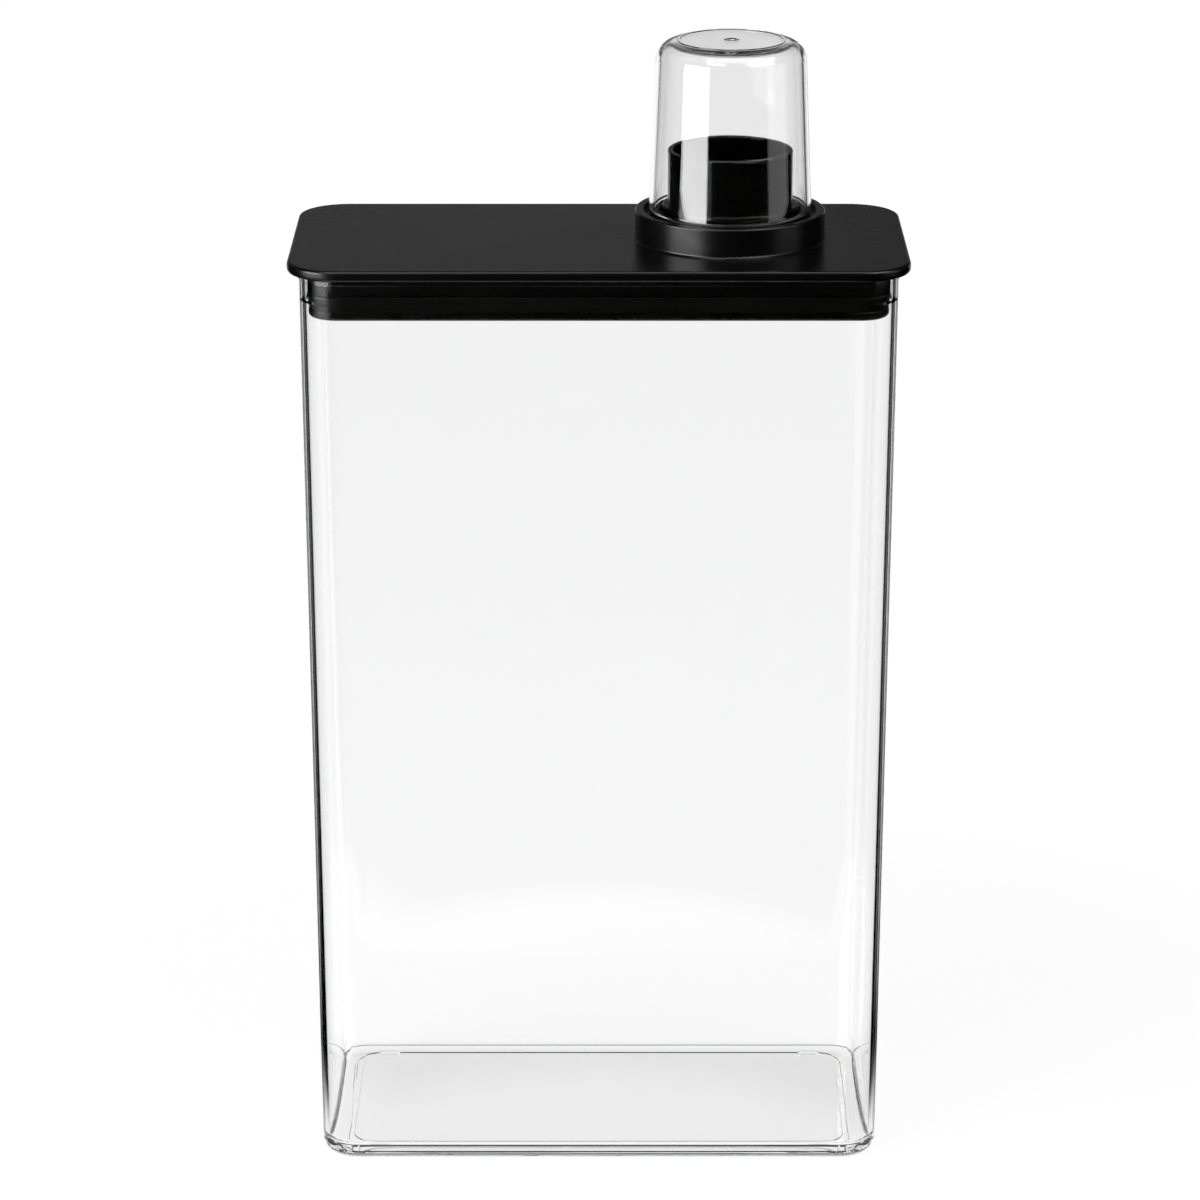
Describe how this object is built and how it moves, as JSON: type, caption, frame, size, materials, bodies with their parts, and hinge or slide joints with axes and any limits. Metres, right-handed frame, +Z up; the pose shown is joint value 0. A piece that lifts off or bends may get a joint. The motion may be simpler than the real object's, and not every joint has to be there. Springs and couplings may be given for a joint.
{
  "type": "food dispenser",
  "caption": "Clear tapered rectangular canister with a black sealed lid, a round pouring spout and a clear measuring cup that caps the spout.",
  "frame": {"origin": "on the table, under the centre of the lid plate", "axes": "+Z up out of the container's mouth, +X along the long side towards the spout, +Y to the back"},
  "size_m": [0.22, 0.105, 0.4138],
  "materials": {
    "clear_body": "clear, polished",
    "clear_cup": "clear, polished",
    "black_satin": "fine satin texture",
    "black_smooth": "smooth moulded",
    "black_silicone": "soft matte"
  },
  "bodies": {
    "container": {"container": "clear_body"},
    "lid": {"lid_cover": "black_satin", "lid_plug": "black_satin", "lid_seal": "black_silicone", "spout_tube": "black_smooth", "spout_gasket": "black_silicone", "cup_seal": "black_silicone"},
    "cup": {"measuring_cup": "clear_cup"}
  },
  "joints": [
    {"name": "lid_lift", "type": "slide", "parent": "container", "child": "lid", "axis": [0, 0, 1], "range_m": [0, 0.08]},
    {"name": "cup_lift", "type": "slide", "parent": "lid", "child": "cup", "axis": [0, 0, 1], "range_m": [0, 0.08]}
  ]
}
